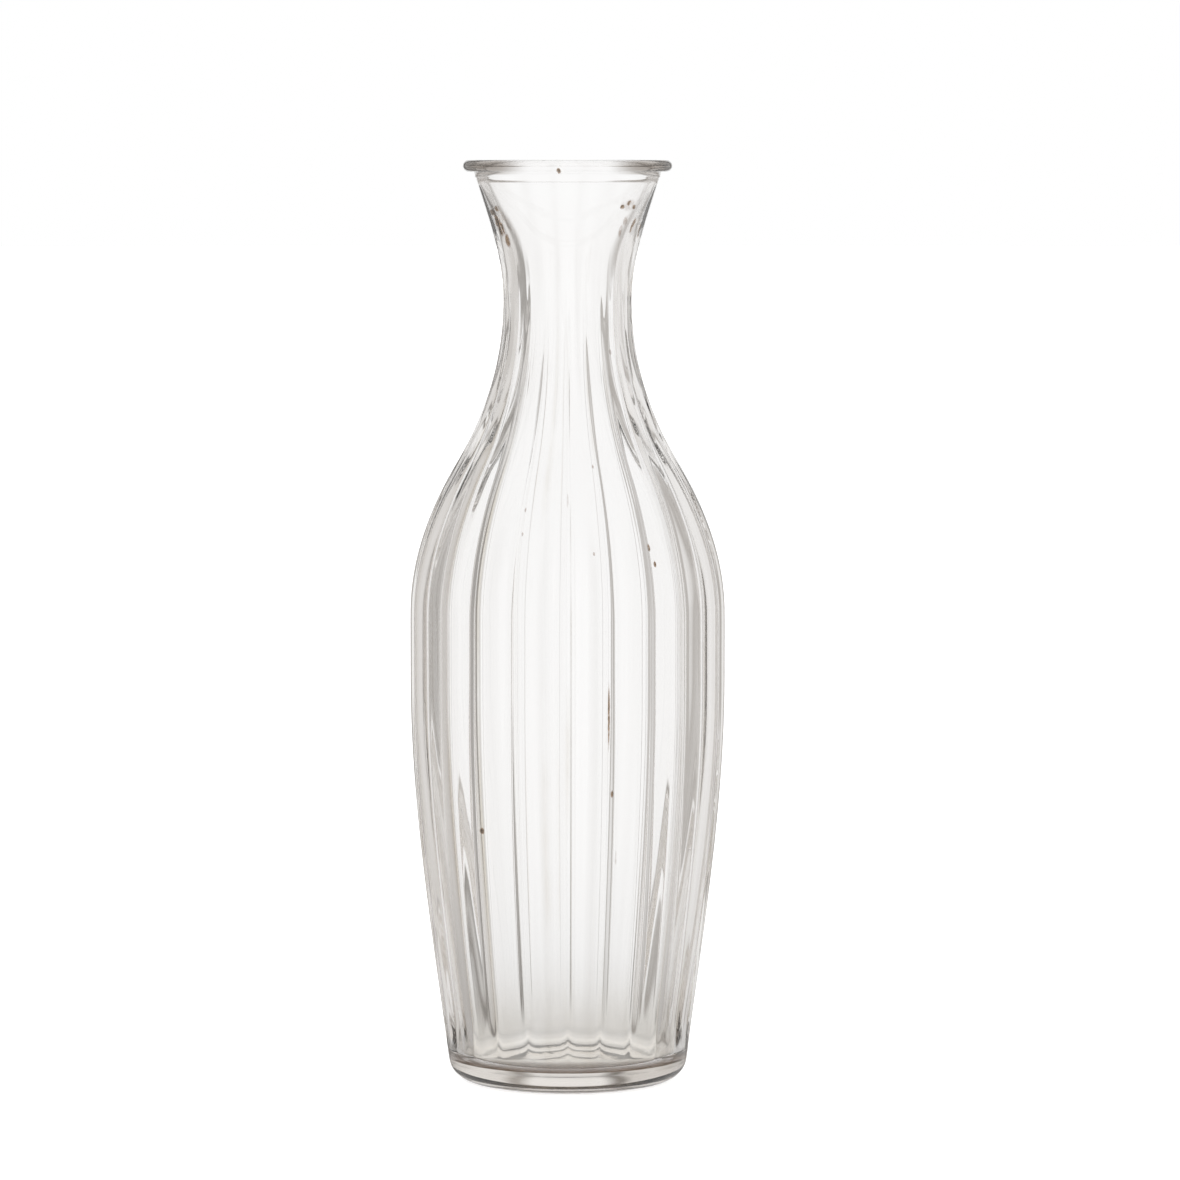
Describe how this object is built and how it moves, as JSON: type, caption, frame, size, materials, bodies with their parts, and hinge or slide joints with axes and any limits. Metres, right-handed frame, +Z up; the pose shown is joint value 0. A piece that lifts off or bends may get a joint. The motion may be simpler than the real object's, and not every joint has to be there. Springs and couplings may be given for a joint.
{
  "type": "bud vase",
  "caption": "Slender clear glass bud vase with soft vertical ribs, a narrow waisted neck, a flared mouth with a rolled rim and a thick base.",
  "frame": {"origin": "centre of the resting plane, under the middle of the base", "axes": "+Z up along the vase's axis; the ribs repeat round it, with a groove on +X"},
  "size_m": [0.0682, 0.0682, 0.2],
  "materials": {
    "glass": "clear, smooth, slightly warm grey"
  },
  "bodies": {
    "root": {"rolled_rim": "glass", "flared_mouth": "glass", "throat": "glass", "ribbed_shoulder": "glass", "ribbed_body": "glass", "base": "glass"}
  },
  "joints": []
}
